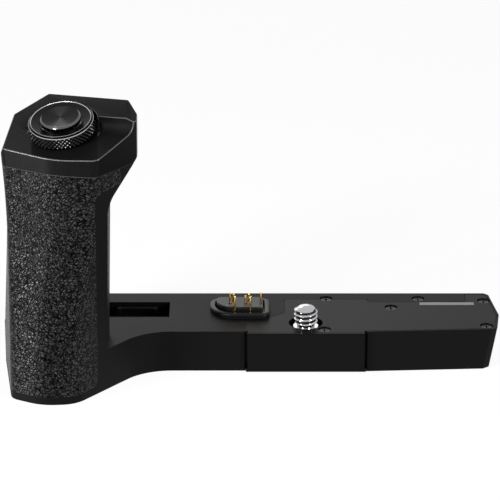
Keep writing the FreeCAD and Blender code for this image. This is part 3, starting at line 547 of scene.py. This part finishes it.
def make_dial_ring(deck, materials):
    """The knurled ring: fine diamonds on the rim with their groove bottoms painted darker as shade, and two
    thin bright lands on the dark bevel.
    """
    bright = 0
    black = 1
    knurled = 2
    profile = [
        (PLATE_OUTER, DIAL_LOW, None),
        (DIAL_RADIUS - 0.75, DIAL_LOW, None),
        (DIAL_RADIUS - 0.4, DIAL_LOW + 0.2, None),
    ]
    knurl_first = len(profile)
    for row in range(KNURL_ROWS + 1):
        profile.append((DIAL_RADIUS, KNURL_LOW + KNURL_PITCH * row / KNURL_CUTS, diamond))
    top_first = len(profile)
    for inward, drop in RING_TOP:
        profile.append((DIAL_RADIUS - inward, DIAL_HIGH - drop, None))
    profile += [
        (PLATE_OUTER, DIAL_HIGH - 0.10, None),
        (PLATE_OUTER, DIAL_LOW, None),
    ]
    steps = KNURLS * KNURL_CUTS
    points, faces = turned(profile, steps)
    ring = new_piece("dial_ring_knurled", points, faces, deck, "dial", "dial_ring",
                     "dial_metal", materials)
    ring.data.materials.append(materials["dial_black"])
    ring.data.materials.append(materials["dial_knurl"])
    for face in ring.data.polygons:
        row, step = divmod(face.index, steps)
        face.material_index = black
        if row - top_first in RING_LANDS:
            face.material_index = bright
        elif knurl_first <= row < knurl_first + KNURL_ROWS:
            # Only shallow faces get the knurl metal; deeper groove bottoms keep the darker black as painted
            # shade.
            if cut_depth(diamond, profile, row, step, steps) <= KNURL_SHADE:
                face.material_index = knurled
    sharp_edges(ring, degrees=35)


def make_dial_plate(deck, materials):
    """The black glossy annulus, slightly dished, between the ring and the button."""
    profile = [
        (PLATE_INNER, PLATE_FOOT, None),
        (PLATE_OUTER, PLATE_FOOT, None),
        (PLATE_OUTER, DIAL_HIGH - 0.24, None),
        (PLATE_OUTER - 0.06, DIAL_HIGH - 0.2, None),
        (PLATE_OUTER - 0.14, DIAL_HIGH - 0.24, None),
        (PLATE_INNER + 0.3, DIAL_HIGH - 0.5, None),
        (PLATE_INNER + 0.08, DIAL_HIGH - 0.52, None),
        (PLATE_INNER, DIAL_HIGH - 0.6, None),
        (PLATE_INNER, PLATE_FOOT, None),
    ]
    points, faces = turned(profile, ROUND_STEPS)
    plate = new_piece("dial_plate_dished", points, faces, deck, "dial", "dial_plate",
                      "dial_gloss", materials)
    sharp_edges(plate, degrees=30)


def make_button(deck, materials):
    """The release button: a spun, slightly hollow top with a polished bevel."""
    profile = [
        (AXIS, BUTTON_LOW, None),
        (BUTTON_RADIUS, BUTTON_LOW, None),
        (BUTTON_RADIUS, BUTTON_HIGH - 0.42, None),
        (BUTTON_RADIUS - 0.1, BUTTON_HIGH - 0.3, None),
        (BUTTON_RADIUS - 0.42, BUTTON_HIGH, None),
    ]
    for ring in range(BUTTON_RINGS):
        radius = BUTTON_RIM * (1 - ring / BUTTON_RINGS)
        sink = BUTTON_HOLLOW * (1 - (radius / BUTTON_RIM) ** 2)
        profile.append((radius, BUTTON_FACE - sink, None))
    profile.append((AXIS, BUTTON_FACE - BUTTON_HOLLOW, None))
    points, faces = turned(profile, ROUND_STEPS)
    button = new_piece("shutter_button_spun", points, faces, deck, "button", "shutter_button",
                       "button_metal", materials)
    button.data.materials.append(materials["button_edge"])
    for face in button.data.polygons:
        if face.index // ROUND_STEPS in BUTTON_BEVEL:
            face.material_index = 1
    sharp_edges(button, degrees=30)


# Camera screw
def thread(angle, height):
    """How deep the screw's thread is cut at a place on its shank."""
    turn = (height / THREAD_PITCH - angle / (2 * math.pi)) % 1.0
    slant = abs(turn - 0.5) * 2
    return THREAD_DEPTH * min(1.0, max(0.0, (slant - THREAD_CREST) * THREAD_SLOPE))


def make_camera_screw(materials):
    """The bright camera screw: a rounded threaded shank with its thread roots painted dark as shade, a neck
    and a flange in the plate's hole.
    """
    profile = [
        (AXIS, SCREW_FOOT, None),
        (2.6, SCREW_FOOT, None),
        (2.6, -1.5, None),
        (3.45, -1.5, None),
        (3.45, -0.95, None),
        (3.3, SCREW_NECK_LOW, None),
        (SCREW_NECK, SCREW_NECK_LOW, None),
        (SCREW_NECK, SCREW_NECK_HIGH, None),
    ]
    shank_first = len(profile)
    for row in range(SCREW_ROWS + 1):
        height = SCREW_NECK_HIGH + (SCREW_ROUND - SCREW_NECK_HIGH) * row / SCREW_ROWS
        profile.append((SCREW_RADIUS - 0.02, height, thread))
    profile += [
        (SCREW_RADIUS - 0.25, SCREW_ROUND + 0.3, thread),
        (SCREW_RADIUS - 0.65, SCREW_ROUND + 0.6, thread),
        (SCREW_RADIUS - 1.2, SCREW_ROUND + 0.9, None),
        (SCREW_RADIUS - 1.9, SCREW_ROUND + 1.15, None),
        (SCREW_RADIUS - 2.5, SCREW_HIGH - 0.03, None),
        (AXIS, SCREW_HIGH, None),
    ]
    points, faces = turned(profile, SCREW_STEPS)
    screw = new_piece("camera_screw_threaded", points, faces, Matrix.Identity(4), "screw",
                      "camera_screw", "screw_steel", materials)
    screw.data.materials.append(materials["screw_root_shade"])
    for face in screw.data.polygons:
        row, step = divmod(face.index, SCREW_STEPS)
        # Faces cut deeper than the shade depth get a dark metal: painted shade in the thread's roots.
        if shank_first <= row < shank_first + SCREW_ROWS:
            if cut_depth(thread, profile, row, step, SCREW_STEPS) > THREAD_SHADE:
                face.material_index = 1
    sharp_edges(screw, degrees=40)


# Stage
def area_light(name, place, size, power):
    """A soft light that faces the hand column, in metres and watts."""
    data = bpy.data.lights.new(name, "AREA")
    data.shape = "RECTANGLE"
    data.size = size[0]
    data.size_y = size[1]
    data.energy = power
    lamp = bpy.data.objects.new(name, data)
    lamp.location = place
    lamp.rotation_euler = (Vector(LIT_POINT) - Vector(place)).to_track_quat("-Z", "Y").to_euler()
    bpy.context.scene.collection.objects.link(lamp)


def make_lights():
    """A wide and a small light behind, and in front a small key light and three strips at the sides."""
    area_light("behind", place=(-0.25, 1.0, 0.36), size=(0.8, 0.40), power=1.0)
    area_light("back_key", place=(-0.20, 0.745, 0.52), size=(0.12, 0.12), power=0.5)
    area_light("key", place=(-0.45, -0.57, 0.37), size=(0.12, 0.12), power=1.8)
    area_light("left_strip", place=(-0.555, -0.35, 0.12), size=(0.16, 0.20), power=2.0)
    area_light("low_strip", place=(-0.555, -0.37, 0.03), size=(0.12, 0.08), power=2.4)
    area_light("right_strip", place=(0.42, -0.42, 0.22), size=(0.16, 0.20), power=2.4)


def background_rays(tree):
    """1 for the rays that see the white background: the camera's, glossy and transmitted ones."""
    path = tree.nodes.new("ShaderNodeLightPath")
    share = path.outputs["Is Camera Ray"]
    for kind in ("Is Glossy Ray", "Is Transmission Ray"):
        either = tree.nodes.new("ShaderNodeMath")
        either.operation = "MAXIMUM"
        tree.links.new(share, either.inputs[0])
        tree.links.new(path.outputs[kind], either.inputs[1])
        share = either.outputs[0]
    return share


def make_world():
    """White to the camera and in reflections, and dim as a light."""
    world = bpy.data.worlds.new("studio")
    bpy.context.scene.world = world
    world.use_nodes = True
    tree = world.node_tree
    tree.nodes.clear()
    dome = tree.nodes.new("ShaderNodeBackground")
    dome.inputs["Strength"].default_value = DOME_LIGHT
    white = tree.nodes.new("ShaderNodeBackground")
    white.inputs["Strength"].default_value = 1.0
    mix = tree.nodes.new("ShaderNodeMixShader")
    tree.links.new(background_rays(tree), mix.inputs["Fac"])
    tree.links.new(dome.outputs[0], mix.inputs[1])
    tree.links.new(white.outputs[0], mix.inputs[2])
    output = tree.nodes.new("ShaderNodeOutputWorld")
    tree.links.new(mix.outputs[0], output.inputs["Surface"])


def floor_material():
    """A matt floor that glows to the camera and in reflections, so that it looks white."""
    material = bpy.data.materials.new("floor")
    material.use_nodes = True
    tree = material.node_tree
    tree.nodes.clear()
    matt = tree.nodes.new("ShaderNodeBsdfDiffuse")
    matt.inputs["Color"].default_value = (FLOOR_GREY, FLOOR_GREY, FLOOR_GREY, 1.0)
    glow = tree.nodes.new("ShaderNodeEmission")
    strength = tree.nodes.new("ShaderNodeMath")
    strength.operation = "MULTIPLY"
    tree.links.new(background_rays(tree), strength.inputs[0])
    strength.inputs[1].default_value = FLOOR_GLOW
    tree.links.new(strength.outputs[0], glow.inputs["Strength"])
    both = tree.nodes.new("ShaderNodeAddShader")
    tree.links.new(matt.outputs[0], both.inputs[0])
    tree.links.new(glow.outputs[0], both.inputs[1])
    output = tree.nodes.new("ShaderNodeOutputMaterial")
    tree.links.new(both.outputs[0], output.inputs["Surface"])
    return material


def make_floor(low):
    """A pale floor that keeps the object's shadow."""
    half = FLOOR_HALF
    mesh = bpy.data.meshes.new("floor")
    corners = [(-half, -half, low), (half, -half, low), (half, half, low), (-half, half, low)]
    mesh.from_pydata(corners, [], [(0, 1, 2, 3)])
    mesh.materials.append(floor_material())
    floor = bpy.data.objects.new("floor", mesh)
    bpy.context.scene.collection.objects.link(floor)
    floor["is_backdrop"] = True


def make_camera():
    data = bpy.data.cameras.new("camera")
    data.lens = CAMERA_LENS
    data.sensor_width = CAMERA_FILM
    camera = bpy.data.objects.new("camera", data)
    camera.location = CAMERA_PLACE
    camera.rotation_euler = (math.radians(CAMERA_TILT), 0, 0)
    bpy.context.scene.collection.objects.link(camera)
    bpy.context.scene.camera = camera


def main():
    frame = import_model()
    cad_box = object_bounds()
    bpy.context.scene.view_settings.view_transform = "Standard"
    make_camera()
    make_world()
    make_lights()
    make_floor(cad_box[0].z - FLOOR_GAP)
    materials = make_materials()
    paint_nodes(frame, materials)
    deck = deck_matrix()
    make_dial_ring(deck, materials)
    make_dial_plate(deck, materials)
    make_button(deck, materials)
    make_camera_screw(materials)


main()
